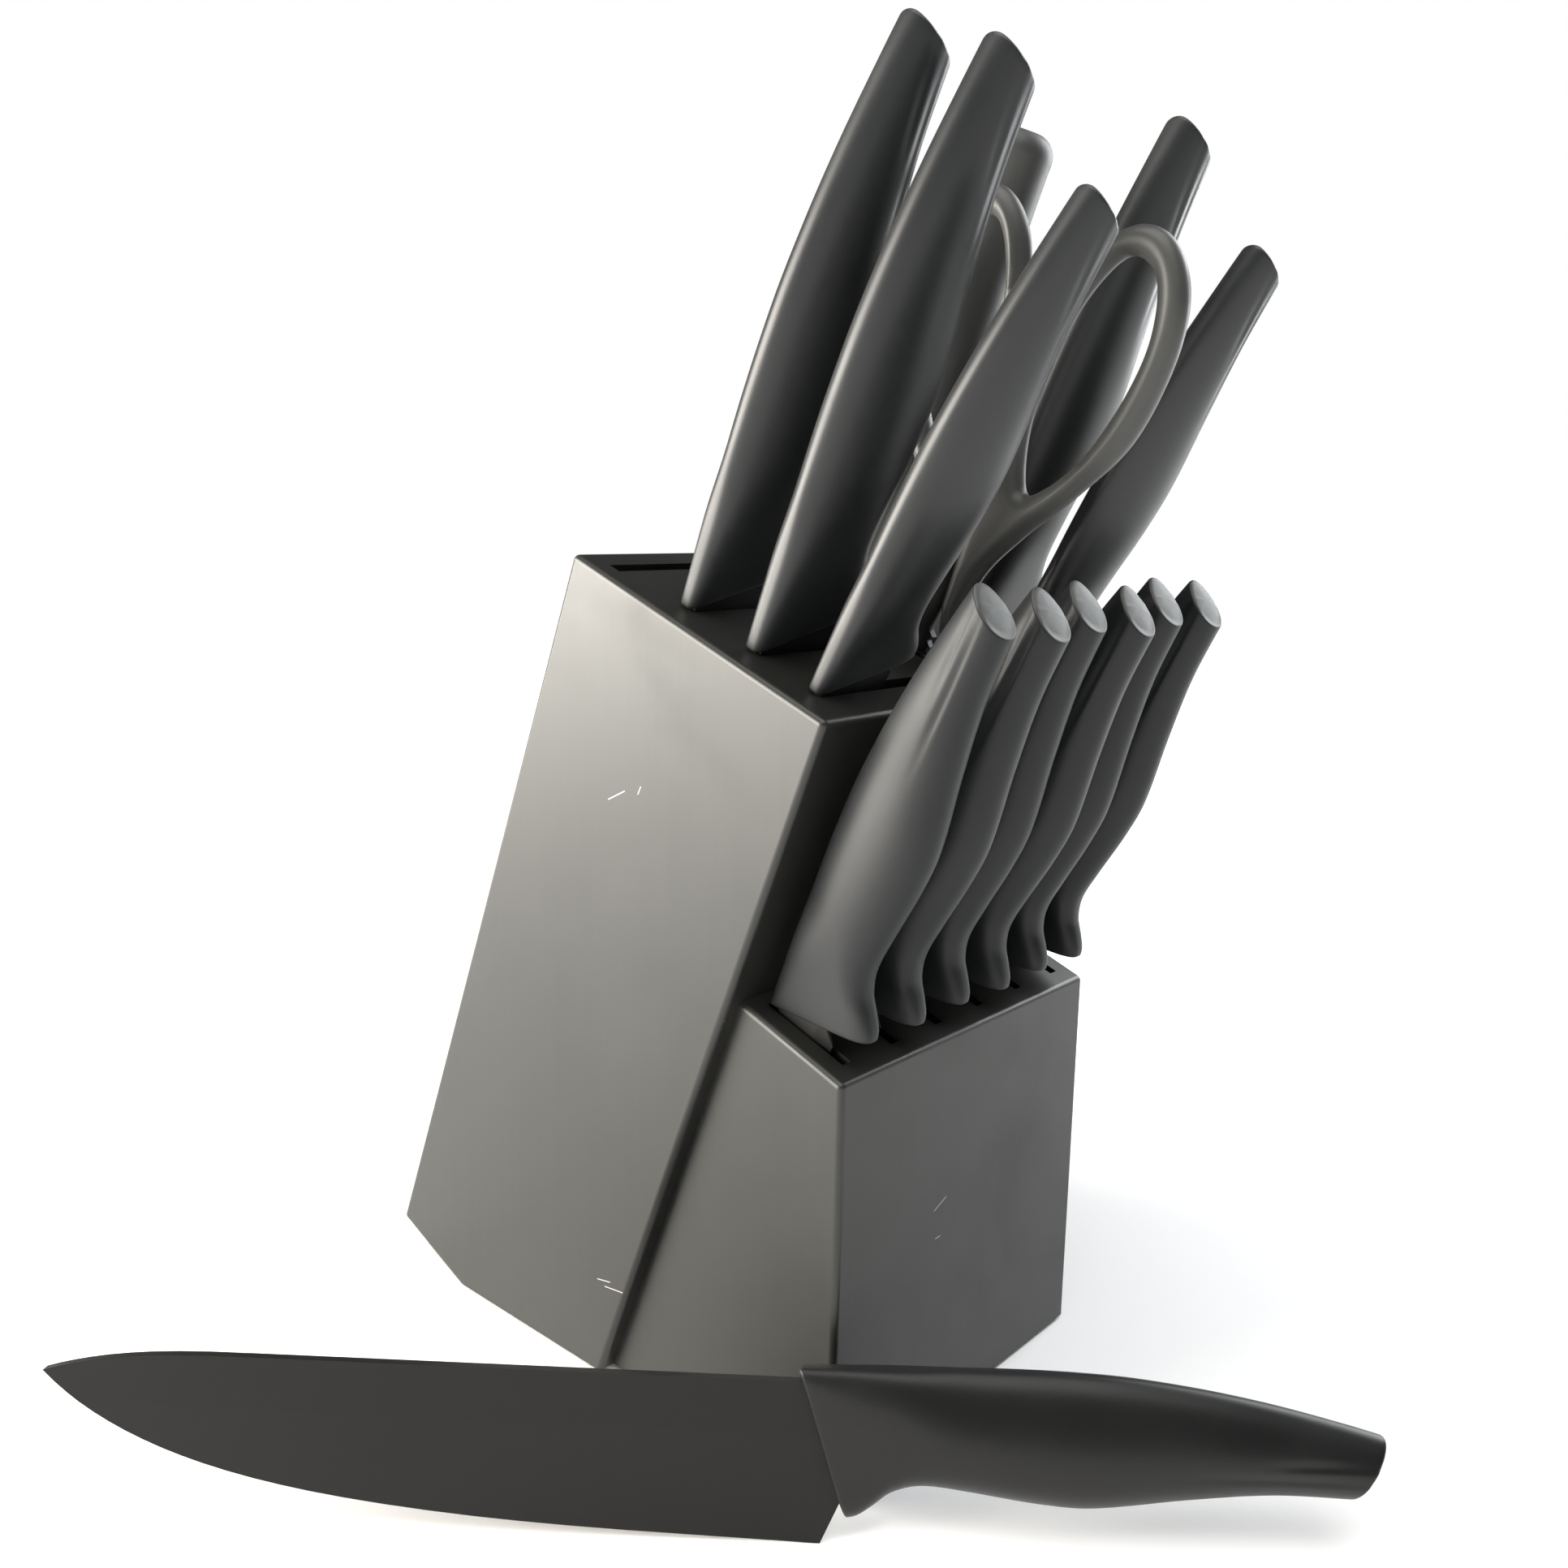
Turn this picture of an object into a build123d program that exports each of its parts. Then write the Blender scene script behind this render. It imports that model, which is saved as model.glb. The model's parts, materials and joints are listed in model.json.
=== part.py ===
from build123d import *
import os
from math import cos, radians, sin, tan

os.makedirs("parts", exist_ok=True)

# Stepped knife block with its knives, honing steel and scissors, in mm and degrees.
# X runs across the block, +Y to its back, +Z up. The origin is the middle of the footprint.

# ---- block ----
TILT = 21.5              # main block's faces and slots lean forward by this
MAIN_WIDTH = 117.0
MAIN_DEPTH = 91.0        # square to the slots, back face to front face
MAIN_FRONT = 202.0       # length of the front face, base to top edge
MAIN_BASE = 66.0         # flat underside, front to back
STEP_BASE = 78.0         # underside of the step, front to back
STEP_HEIGHT = 104.0      # upright front face
STEP_REACH = 124.5       # how far the step climbs the main block's front face
EDGE_ROUND = 1.6
MAT_THICKNESS = 1.2
MAT_INSET = 4.0
MAT_CORNER = 5.0

# ---- slots, measured on the top faces ----
SLOT = 3.8               # width of a blade slot
SIDE_WALL = 5.8          # wood outside the left column of slots
CHEF_SLOT = 50.2         # length of the chef's knife's slot
LEFT_SLOT_START = 10.2   # the other slots of the left column, from the left side
LEFT_SLOT_END = 56.0
RIGHT_SLOT_START = 82.3
RIGHT_SLOT_END = 112.0
CHEF_DEPTH = 9.75        # slot middles, from the back face
BREAD_DEPTH = 34.0
SANTOKU_DEPTH = 57.8
UTILITY_DEPTH = 78.9
SLICER_DEPTH = 63.5
PARING_DEPTH = 82.0
FRONT_FAN = 7.0          # the two front slots lean forward by this much more
UTILITY_SLOT_REACH = 132.0
PARING_SLOT_REACH = 100.0
STEEL_DEPTH = 24.0
STEEL_ACROSS = 88.5
STEEL_HOLE = 12.0
SCISSOR_ACROSS = 65.6
SCISSOR_SLOT = 5.5
SCISSOR_BACK = 38.0
SCISSOR_FRONT = 82.5

STEAK_COUNT = 6
STEAK_PITCH = 18.4
STEAK_SIDE = 7.8         # outer slots' middles from the step's sides
STEAK_SLOT = 3.0
STEAK_TILT = 24.0
STEAK_FRONT_WALL = 5.4
STEAK_BACK_WALL = 3.6
STEAK_NOSE_SET = 3.8     # top of a handle's nose from the step's back edge
STEAK_LEANS = (-0.9, 0.4, -0.5, 1.0, -0.3, 0.7)

DOWEL_RADIUS = 3.0
DOWEL_LENGTH = 26.0
DOWEL_SPAN = 2 * STEAK_PITCH
DOWEL_HEIGHTS = (26.0, 60.0)

# ---- knives ----
REST_GAP = 0.3           # handle nose above the block
NOSE_ACROSS = 8.2        # left column noses, from the left side
RIGHT_NOSE_ACROSS = 80.3
COLUMN_LEAN = 1.9        # main block handles lean this much from their blades, to the belly side
HANDLE_LENGTH = 141.5    # nose to butt, large handle
SMALL_HANDLE = 0.825     # utility and paring handles against the large one
LARGE_HANDLE = 0.97
STEAK_HANDLE = 0.812
CHEF_HANDLE = 0.93
BLADE_THICKNESS = 2.2
STEAK_BLADE_THICKNESS = 1.6
SPINE_SET = 3.2          # blade spine below the handle's top line
GRIND_START = 12.0       # the blade thins from this far below its spine
EDGE_THICKNESS = 0.4
CHOIL_DEPTH = 33.0       # where a broad blade leaves the handle
NARROW_CHOIL = 4.0       # the same for a narrow blade, above its edge
HEEL_SET = 4.6           # heel ahead of the choil
BOW_START = 0.72         # of the length, where the spine starts down to the tip
BELLY_SPOT = 0.55        # of the length, a point on the edge
BELLY_RISE = 0.13        # of the width, edge above the heel there
TANG_HEIGHT = 11.0
TANG_SET = 6.5
TANG_SHARE = 0.72        # of the handle's length

# the large handle's top line, belly line and thickness, each as (along, value)
HANDLE_TOP = ((-4, 0.0), (48, -1.4), (76, -1.0), (97, 1.1), (117, 4.4), (137, 8.9), (152, 12.8))
HANDLE_BELLY = (
    (-4, 36.0), (9, 36.4), (15, 36.0), (19, 33.4), (24, 29.4), (31, 27.4),
    (43, 28.5), (60, 30.6), (73, 31.1), (97, 27.9), (117, 25.9), (136, 26.0), (152, 26.6),
)
HANDLE_THICKNESS = ((-4, 7.4), (12, 9.6), (31, 14.4), (52, 17.6), (75, 18.4), (100, 16.8), (125, 14.6), (152, 13.0))
HANDLE_SECTIONS = 21
SECTION_POINTS = 14
EGG = 0.2                # how much fuller the section is towards the belly
NOSE_LINE = ((0.2, 0.0), (12.6, 35.6))
BUTT_LINE = ((145.6, 11.0), (136.0, 27.4))

# ---- knife laid out in front ----
CHEF_HEADING = 49.2      # its broad side faces this far round from the front
CHEF_LEAN = 8.0          # leans back onto the step's corner
CHEF_DROOP = 1.1         # butt lower than tip
CHEF_HEEL = (-65.5, -78.9)

# ---- honing steel ----
STEEL_RADIUS = 5.0
STEEL_REACH = 185.0
STEEL_TOP = 127.5
STEEL_GRIP = 12.2        # radius at the handle's middle
STEEL_COLLAR = 8.8
STEEL_FLARE = 10.3       # radius just above the collar
STEEL_NECK = 9.5
STEEL_SHOULDER = 11.4
STEEL_DOME = 6.0         # roundness of the handle's end
COLLAR_HEIGHT = 6.0
NECK_HEIGHT = 20.0
SHOULDER_HEIGHT = 105.5
STEEL_SOCKET = 30.0      # rod inside the handle
ROD_CHAMFER = 2.0

# ---- scissors: up is along the slot, forward is towards the block's front ----
SCISSOR_DEPTH = 68.7
PIVOT_DROP = 7.0
PIVOT_RADIUS = 3.2
PIVOT_CLEARANCE = 0.04
SHEAR_BLADE = 2.0
SHEAR_GAP = 0.1
SCISSOR_LEAN = 3.0       # backwards, in their slot
LOOP_THICKNESS = 8.5
# front half, (forward, up) from the pivot's line and the block's top
ARM_OUTLINE = (
    (9.0, 0.6), (6.6, 12), (8.0, 25), (15.2, 38), (26.4, 53.5), (35.2, 69), (38.3, 88),
    (36.2, 103), (28.5, 113.2), (18.5, 114.3), (9.0, 105), (3.6, 86), (1.4, 63), (0.3, 40),
)
NUT_GAP = ((0.3, 14.5), (2.0, 7), (2.0, 0.6))
LOOP_OPENING = (
    (11.8, 49.5), (7.4, 64), (8.2, 82), (11.8, 97), (18.6, 107.2), (27.2, 105), (31.2, 93), (30.2, 79),
    (25.2, 63), (18.0, 52.5),
)
SHEAR_OUTLINE = (
    (2.6, 30), (5.4, 30), (5.4, 11), (8.6, 1), (9.6, -7), (6.5, -15), (2.2, -19), (0.8, -104), (-1.0, -108),
    (-9.5, -34), (-9.5, -13), (-6.5, -5), (-0.6, 0.5), (2.0, 1.2), (0.6, 2.6), (2.0, 4.0), (0.7, 5.4), (2.4, 7.0),
    (2.6, 12),
)
PIVOT_HEAD = 4.6
PIVOT_HEAD_HEIGHT = 0.45

# ---- directions and corners worked out from the sizes ----
UP = Vector(0, -sin(radians(TILT)), cos(radians(TILT)))
BACK = Vector(0, cos(radians(TILT)), sin(radians(TILT)))
ACROSS = Vector(1, 0, 0)
FRONT_LINE_Y = (STEP_BASE - MAIN_BASE) / 2
BASE_FRONT = Vector(0, FRONT_LINE_Y, MAT_THICKNESS)
BASE_BACK = BASE_FRONT + Vector(0, MAIN_BASE, 0)
TOP_FRONT = BASE_FRONT + UP * MAIN_FRONT
TOP_BACK = TOP_FRONT + BACK * MAIN_DEPTH
HEEL_BACK = BASE_BACK + BACK * (MAIN_DEPTH - MAIN_BASE * cos(radians(TILT)))
STEP_TOP_BACK = BASE_FRONT + UP * STEP_REACH
STEP_WIDTH = (STEAK_COUNT - 1) * STEAK_PITCH + 2 * STEAK_SIDE
STEP_FRONT_Y = FRONT_LINE_Y - STEP_BASE
STEP_TOP_FRONT = Vector(0, STEP_FRONT_Y, MAT_THICKNESS + STEP_HEIGHT)
STEP_BASE_FRONT = Vector(0, STEP_FRONT_Y, MAT_THICKNESS)
FAR = 400.0              # past everything
OVER = 10.0              # cutting prisms stand this far above a top face


def main_point(across, depth, height=0.0):
    """A point from the left side, the back face and the top face of the main block."""
    return TOP_BACK + ACROSS * (across - MAIN_WIDTH / 2) - BACK * depth + UP * height


def prism(corners, x0, x1):
    """A solid over corners in the upright fore-and-aft plane, from x0 to x1."""
    outline = Polyline(*[Vector(x0, p.Y, p.Z) for p in corners], close=True)
    return extrude(Face(Wire(outline.edges())), amount=x1 - x0, dir=(1, 0, 0))


def save(name, shape):
    """Write one node."""
    solids = shape.solids()
    export_step(solids[0] if len(solids) == 1 else Compound(children=list(solids)), f"parts/{name}.step")


# ---------------------------------------------------------------- block
def rounded_main():
    corners = (BASE_FRONT, TOP_FRONT, TOP_BACK, HEEL_BACK, BASE_BACK)
    body = prism(corners, -MAIN_WIDTH / 2, MAIN_WIDTH / 2)
    edges = body.edges().filter_by(lambda e: e.center().Z > MAT_THICKNESS + EDGE_ROUND)
    return fillet(edges, EDGE_ROUND)


def rounded_step():
    corners = (BASE_FRONT, STEP_BASE_FRONT, STEP_TOP_FRONT, STEP_TOP_BACK)
    body = prism(corners, -STEP_WIDTH / 2, STEP_WIDTH / 2)

    def is_open(edge):
        middle = edge.center()
        clear_of_main = abs((middle - BASE_FRONT).dot(BACK)) > EDGE_ROUND
        return clear_of_main and middle.Z > MAT_THICKNESS + EDGE_ROUND

    return fillet(body.edges().filter_by(is_open), EDGE_ROUND)


def main_cell(across0, across1, corners):
    """A cutting prism with corners as (depth from the back, distance below the top)."""
    points = [main_point(0, depth, -below) for depth, below in corners]
    return prism(points, across0 - MAIN_WIDTH / 2, across1 - MAIN_WIDTH / 2)


def band(start, end):
    return ((start, -FAR), (end, -FAR), (end, FAR), (start, FAR))


def slab(body, name, across0, across1, slots, front_slot):
    """Boards and spacer strips of one side of the main block, back to front."""
    boards = []
    strips = []
    edge = -FAR
    for depth, width, start, end in slots:
        boards.append(body & main_cell(across0, across1, band(edge, depth - width / 2)))
        edge = depth + width / 2
        slot_band = band(depth - width / 2, edge)
        strips.append(body & main_cell(across0, start, slot_band))
        strips.append(body & main_cell(end, across1, slot_band))

    depth, start, end, low = front_slot
    half = SLOT / 2 / cos(radians(FRONT_FAN))
    slope = tan(radians(FRONT_FAN))
    back_top, back_low = depth - half + OVER * slope, depth - half - low * slope
    front_top, front_low = depth + half + OVER * slope, depth + half - low * slope
    behind = ((edge, -OVER), (back_top, -OVER), (back_low, low), (edge, low))
    ahead = ((front_top, -OVER), (FAR, -OVER), (FAR, low), (front_low, low))
    between = ((back_top, -OVER), (front_top, -OVER), (front_low, low), (back_low, low))
    below = ((edge, low), (FAR, low), (FAR, FAR), (edge, FAR))
    boards += [body & main_cell(across0, across1, c) for c in (behind, ahead, below)]
    strips.append(body & main_cell(across0, start, between))
    strips.append(body & main_cell(end, across1, between))
    return {f"{name}_board_{i}": b for i, b in enumerate(boards, 1)}, strips


def dowels():
    """Pegs that hold the step to the main block."""
    pegs = []
    for height in DOWEL_HEIGHTS:
        for side in (-1, 1):
            middle = BASE_FRONT + UP * height + ACROSS * (side * DOWEL_SPAN / 2)
            axis = Plane(origin=middle, x_dir=ACROSS, z_dir=BACK)
            pegs.append(axis.location * Cylinder(DOWEL_RADIUS, DOWEL_LENGTH))
    return Compound(children=pegs)


def make_block():
    main = rounded_main()
    pegs = dowels()
    core0 = SCISSOR_ACROSS - SCISSOR_SLOT / 2
    core1 = SCISSOR_ACROSS + SCISSOR_SLOT / 2
    left_slots = [(CHEF_DEPTH, SLOT, SIDE_WALL, SIDE_WALL + CHEF_SLOT)]
    left_slots += [(depth, SLOT, LEFT_SLOT_START, LEFT_SLOT_END) for depth in (BREAD_DEPTH, SANTOKU_DEPTH)]
    steel_half = STEEL_HOLE / 2
    right_slots = [
        (STEEL_DEPTH, STEEL_HOLE, STEEL_ACROSS - steel_half, STEEL_ACROSS + steel_half),
        (SLICER_DEPTH, SLOT, RIGHT_SLOT_START, RIGHT_SLOT_END),
    ]
    utility = (UTILITY_DEPTH, LEFT_SLOT_START, LEFT_SLOT_END, UTILITY_SLOT_REACH)
    paring = (PARING_DEPTH, RIGHT_SLOT_START, RIGHT_SLOT_END, PARING_SLOT_REACH)
    left, left_strips = slab(main, "left", -1, core0, left_slots, utility)
    right, right_strips = slab(main, "right", core1, MAIN_WIDTH + 1, right_slots, paring)
    nodes = {**left, **right}
    core = [
        main & main_cell(core0, core1, band(-FAR, SCISSOR_BACK)),
        main & main_cell(core0, core1, band(SCISSOR_FRONT, FAR)),
    ]
    nodes["left_spacers"] = Compound(children=[s.solid() for s in left_strips])
    nodes["right_spacers"] = Compound(children=[s.solid() for s in right_strips])
    nodes["core_spacers"] = Compound(children=[s.solid() for s in core])
    for name in ("left_board_6", "right_board_5"):
        nodes[name] = nodes[name] - pegs
    nodes.update(make_step(pegs))
    nodes["dowels"] = pegs
    nodes["non_slip_mat"] = make_mat()
    return nodes


def steak_across(index):
    return (index - (STEAK_COUNT - 1) / 2) * STEAK_PITCH


def make_step(pegs):
    body = rounded_step()
    lean = Vector(0, -sin(radians(STEAK_TILT)), cos(radians(STEAK_TILT)))
    slope = (STEP_TOP_FRONT - STEP_TOP_BACK).normalized()
    slot_back = STEP_TOP_BACK + slope * STEAK_BACK_WALL
    slot_front = STEP_TOP_FRONT - slope * STEAK_FRONT_WALL
    reach = Vector(0, FAR, 0)
    behind = (slot_back + lean * FAR, slot_back + lean * FAR + reach, slot_back - lean * FAR + reach,
              slot_back - lean * FAR)
    ahead = (slot_front + lean * FAR, slot_front + lean * FAR - reach, slot_front - lean * FAR - reach,
             slot_front - lean * FAR)
    nodes = {}
    spacers = []
    edge = -STEP_WIDTH / 2 - 1
    for index in range(STEAK_COUNT):
        x0 = steak_across(index) - STEAK_SLOT / 2
        x1 = x0 + STEAK_SLOT
        nodes[f"step_board_{index + 1}"] = body & Pos((edge + x0) / 2, 0, 0) * Box(x0 - edge, FAR, FAR)
        spacers += [body & prism(behind, x0, x1), body & prism(ahead, x0, x1)]
        edge = x1
    end = STEP_WIDTH / 2 + 1
    nodes[f"step_board_{STEAK_COUNT + 1}"] = body & Pos((edge + end) / 2, 0, 0) * Box(end - edge, FAR, FAR)
    for name in nodes:
        nodes[name] = nodes[name] - pegs
    nodes["step_spacers"] = Compound(children=[s.solid() for s in spacers])
    return nodes


def make_mat():
    depth = MAIN_BASE + STEP_BASE - 2 * MAT_INSET
    width = STEP_WIDTH - 2 * MAT_INSET
    sheet = extrude(RectangleRounded(width, depth, MAT_CORNER), amount=MAT_THICKNESS)
    return sheet


# ---------------------------------------------------------------- knives
# Local frame of a knife: x along the handle to the butt, y from spine to belly, z through it.
def egg_section(along, top, belly, thickness):
    """Closed smooth section, fuller towards the belly."""
    middle, half = (top + belly) / 2, (belly - top) / 2
    section = []
    for k in range(SECTION_POINTS):
        angle = 360 / SECTION_POINTS * (k + 0.5)
        share = -cos(radians(angle))
        side = thickness / 2 * sin(radians(angle)) * (1 + EGG * share)
        section.append((along, middle + half * share, side))
    return Wire(Spline(*section, periodic=True).edges())


def half_space(line, keep_right):
    """A large block on one side of a line in the knife's broad plane."""
    (u0, v0), (u1, v1) = line
    start, end = Vector(u0, v0, 0), Vector(u1, v1, 0)
    along = (end - start).normalized()
    normal = Vector(along.Y, -along.X, 0) * (1 if keep_right else -1)
    frame = Plane(origin=start, x_dir=along, z_dir=Vector(0, 0, 1))
    centre = (start + normal * (FAR / 2))
    return Plane(origin=centre, x_dir=frame.x_dir, z_dir=frame.z_dir).location * Box(FAR, FAR, FAR)


def tang(scale, thickness):
    length = HANDLE_LENGTH * TANG_SHARE * scale
    height = TANG_HEIGHT * scale
    start = TANG_SET * scale
    return Pos(length / 2, start + height / 2, 0) * Box(length, height, thickness)


def smooth(table, along):
    """A value between the table's points, on a curve with no corners."""
    last = len(table) - 2
    i = max(k for k in range(last + 1) if table[k][0] <= along or k == 0)

    def slope(k):
        before, after = table[max(k - 1, 0)], table[min(k + 1, last + 1)]
        return (after[1] - before[1]) / (after[0] - before[0])

    (x0, y0), (x1, y1) = table[i], table[i + 1]
    span = x1 - x0
    t = (along - x0) / span
    rise = (2 * t**3 - 3 * t**2 + 1) * y0 + (3 * t**2 - 2 * t**3) * y1
    return rise + span * ((t**3 - 2 * t**2 + t) * slope(i) + (t**3 - t**2) * slope(i + 1))


def handle(scale, thickness, lean):
    start, end = HANDLE_TOP[0][0], HANDLE_TOP[-1][0]
    wires = []
    for k in range(HANDLE_SECTIONS):
        along = start + (end - start) * k / (HANDLE_SECTIONS - 1)
        sizes = (smooth(table, along) for table in (HANDLE_TOP, HANDLE_BELLY, HANDLE_THICKNESS))
        wires.append(egg_section(along, *sizes))
    solid = Solid.make_loft(wires)
    solid = solid & half_space(NOSE_LINE, True) & half_space(BUTT_LINE, False)
    solid = solid.solid().scale(scale).rotate(Axis.Z, lean)
    return solid - tang(scale, thickness)


def ground_space(top, edge_depth, thickness):
    """Space between the blade's sides, which close in from GRIND_START to the edge."""
    side = (
        (top - FAR, FAR / 2), (top + GRIND_START, thickness / 2),
        (edge_depth, EDGE_THICKNESS / 2), (edge_depth + FAR, EDGE_THICKNESS / 2),
    )
    right = [Vector(0, y, z) for y, z in side]
    left = [Vector(0, y, -z) for y, z in reversed(side)]
    section = Polyline(*right, *left, close=True)
    return extrude(Face(Wire(section.edges())), amount=FAR, dir=(1, 0, 0), both=True)


def blade(scale, thickness, outline, edge_depth, nose):
    """Blade and tang. The outline runs from the spine at the handle round to the choil."""
    plate = extrude(Face(Wire(outline)), amount=thickness / 2, dir=(0, 0, 1), both=True)
    plate = plate & ground_space(SPINE_SET * scale, edge_depth, thickness)
    root = tang(scale, thickness) & half_space(nose, True)
    return (plate + root).solid()


def nose_line(scale, lean):
    """Two points of the handle's slanted front face, once it is scaled and leans."""
    turned = [Vector(u * scale, v * scale, 0).rotate(Axis.Z, lean) for u, v in NOSE_LINE]
    return [(point.X, point.Y) for point in turned]


def line_at(line, v):
    (u0, v0), (u1, v1) = line
    return u0 + (v - v0) * (u1 - u0) / (v1 - v0)


def blade_outline(scale, length, width, tip_drop, nose):
    """Straight spine that bows down to the tip, and a curved edge back to the heel."""
    top = SPINE_SET * scale
    low = top + width
    choil_depth = min(CHOIL_DEPTH * scale, low - NARROW_CHOIL)
    root = Vector(line_at(nose, top), top)
    corner = Vector(line_at(nose, choil_depth), choil_depth)
    heel = Vector(corner.X - HEEL_SET * scale, low)
    tip = Vector(-length, top + tip_drop)
    bend = Vector(-length * BOW_START, top)
    belly = Vector(-length * BELLY_SPOT, low - width * BELLY_RISE)
    edges = [
        Line(root, bend),
        Spline(bend, tip, tangents=((-1, 0), (-1, 0.32)), tangent_scalars=(1, 1)),
        Spline(tip, belly, heel, tangents=((0.72, 0.7), (1, 0.03))),
        Line(heel, corner),
        Line(corner, root),
    ]
    return [e.edge() for e in edges]


KNIVES = {
    # name: handle scale, blade thickness, length, width, tip drop
    "chef_knife": (CHEF_HANDLE, BLADE_THICKNESS, 173.0, 37.8, 5.0),
    "bread_knife": (LARGE_HANDLE, BLADE_THICKNESS, 196.0, 33.0, 7.0),
    "santoku_knife": (LARGE_HANDLE, BLADE_THICKNESS, 168.0, 42.0, 14.0),
    "utility_knife": (SMALL_HANDLE, BLADE_THICKNESS, 122.0, 24.0, 6.0),
    "slicing_knife": (LARGE_HANDLE, BLADE_THICKNESS, 196.0, 27.5, 7.0),
    "paring_knife": (SMALL_HANDLE, BLADE_THICKNESS, 92.0, 20.5, 6.0),
    "steak_knife": (STEAK_HANDLE, STEAK_BLADE_THICKNESS, 100.0, 17.5, 8.0),
}


def make_knife(kind, lean=0.0):
    scale, thickness, length, width, tip_drop = KNIVES[kind]
    nose = nose_line(scale, lean)
    outline = blade_outline(scale, length, width, tip_drop, nose)
    steel = blade(scale, thickness, outline, SPINE_SET * scale + width, nose)
    return steel, handle(scale, thickness, lean)


def knife_plane(nose, along, belly):
    return Plane(origin=nose, x_dir=along, z_dir=along.cross(belly))


def column_plane(across, depth, fan):
    """A knife in the main block, its spine to the left."""
    up = UP * cos(radians(fan)) - BACK * sin(radians(fan))
    return knife_plane(main_point(across, depth, REST_GAP), up, ACROSS)


def steak_plane(index):
    """A steak knife in the step: spine to the back."""
    tilt = radians(STEAK_TILT + STEAK_LEANS[index])
    along = Vector(0, -sin(tilt), cos(tilt))
    belly = Vector(0, -cos(tilt), -sin(tilt))
    slope = (STEP_TOP_FRONT - STEP_TOP_BACK).normalized()
    nose = STEP_TOP_BACK + slope * STEAK_NOSE_SET + ACROSS * steak_across(index)
    return knife_plane(nose + along * REST_GAP, along, belly)


def chef_plane():
    """The knife shown in front: broad side to the front left, edge down on the table."""
    heading = radians(CHEF_HEADING)
    away = Vector(sin(heading), cos(heading), 0)
    level = Vector(cos(heading), -sin(heading), 0)
    lean = radians(CHEF_LEAN)
    down = Vector(0, 0, -1) * cos(lean) - away * sin(lean)
    droop = radians(CHEF_DROOP)
    along = level * cos(droop) + down * sin(droop)
    belly = down * cos(droop) - level * sin(droop)
    return along, belly


def place_chef(steel, grip):
    """Stand the knife on its heel at the chosen point of the table."""
    along, belly = chef_plane()
    trial = knife_plane(Vector(0, 0, 0), along, belly)
    moved = trial.location * steel
    low = moved.vertices().sort_by(Axis.Z)[0].center()
    shift = Vector(CHEF_HEEL[0] - low.X, CHEF_HEEL[1] - low.Y, -moved.bounding_box().min.Z)
    frame = knife_plane(shift, along, belly)
    return frame.location * steel, frame.location * grip


def make_knives():
    nodes = {}
    places = {
        "bread_knife": column_plane(NOSE_ACROSS, BREAD_DEPTH, 0),
        "santoku_knife": column_plane(NOSE_ACROSS, SANTOKU_DEPTH, 0),
        "utility_knife": column_plane(NOSE_ACROSS, UTILITY_DEPTH, FRONT_FAN),
        "slicing_knife": column_plane(RIGHT_NOSE_ACROSS, SLICER_DEPTH, 0),
        "paring_knife": column_plane(RIGHT_NOSE_ACROSS, PARING_DEPTH, FRONT_FAN),
    }
    for name, plane in places.items():
        steel, grip = make_knife(name, COLUMN_LEAN)
        nodes[f"{name}_blade"] = plane.location * steel
        nodes[f"{name}_handle"] = plane.location * grip
    steel, grip = make_knife("steak_knife")
    for index in range(STEAK_COUNT):
        place = steak_plane(index).location
        nodes[f"steak_knife_{index + 1}_blade"] = place * steel
        nodes[f"steak_knife_{index + 1}_handle"] = place * grip
    steel, grip = place_chef(*make_knife("chef_knife"))
    nodes["chef_knife_blade"] = steel
    nodes["chef_knife_handle"] = grip
    return nodes


# ---------------------------------------------------------------- honing steel
def make_steel():
    place = Plane(origin=main_point(STEEL_ACROSS, STEEL_DEPTH), x_dir=ACROSS, z_dir=UP).location
    rim, middle = STEEL_SHOULDER - STEEL_DOME, STEEL_TOP / 2
    side = Spline(
        (STEEL_FLARE, COLLAR_HEIGHT), (STEEL_NECK, NECK_HEIGHT), (STEEL_GRIP, middle),
        (STEEL_SHOULDER, SHOULDER_HEIGHT), (STEEL_SHOULDER, STEEL_TOP - STEEL_DOME),
    )
    profile = [
        Line((0, REST_GAP), (STEEL_COLLAR, REST_GAP)),
        Line((STEEL_COLLAR, REST_GAP), (STEEL_FLARE, COLLAR_HEIGHT)),
        side,
        RadiusArc((STEEL_SHOULDER, STEEL_TOP - STEEL_DOME), (rim, STEEL_TOP), -STEEL_DOME),
        Line((rim, STEEL_TOP), (0, STEEL_TOP)),
        Line((0, STEEL_TOP), (0, REST_GAP)),
    ]
    face = make_face(Plane.XZ * Wire([e.edge() for e in profile]))
    body = revolve(face, Axis.Z)
    rod = Pos(0, 0, (STEEL_SOCKET - STEEL_REACH) / 2) * Cylinder(STEEL_RADIUS, STEEL_REACH + STEEL_SOCKET)
    rod = chamfer(rod.edges().group_by(Axis.Z)[0], ROD_CHAMFER)
    return {"honing_steel_rod": place * rod, "honing_steel_handle": place * (body - rod)}


# ---------------------------------------------------------------- scissors
# Local frame: x up out of the slot, y towards the block's front, z across the block.
def scissor_plane():
    lean = radians(SCISSOR_LEAN)
    up = UP * cos(lean) + BACK * sin(lean)
    return Plane(origin=main_point(SCISSOR_ACROSS, SCISSOR_DEPTH), x_dir=up, z_dir=ACROSS)


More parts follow.
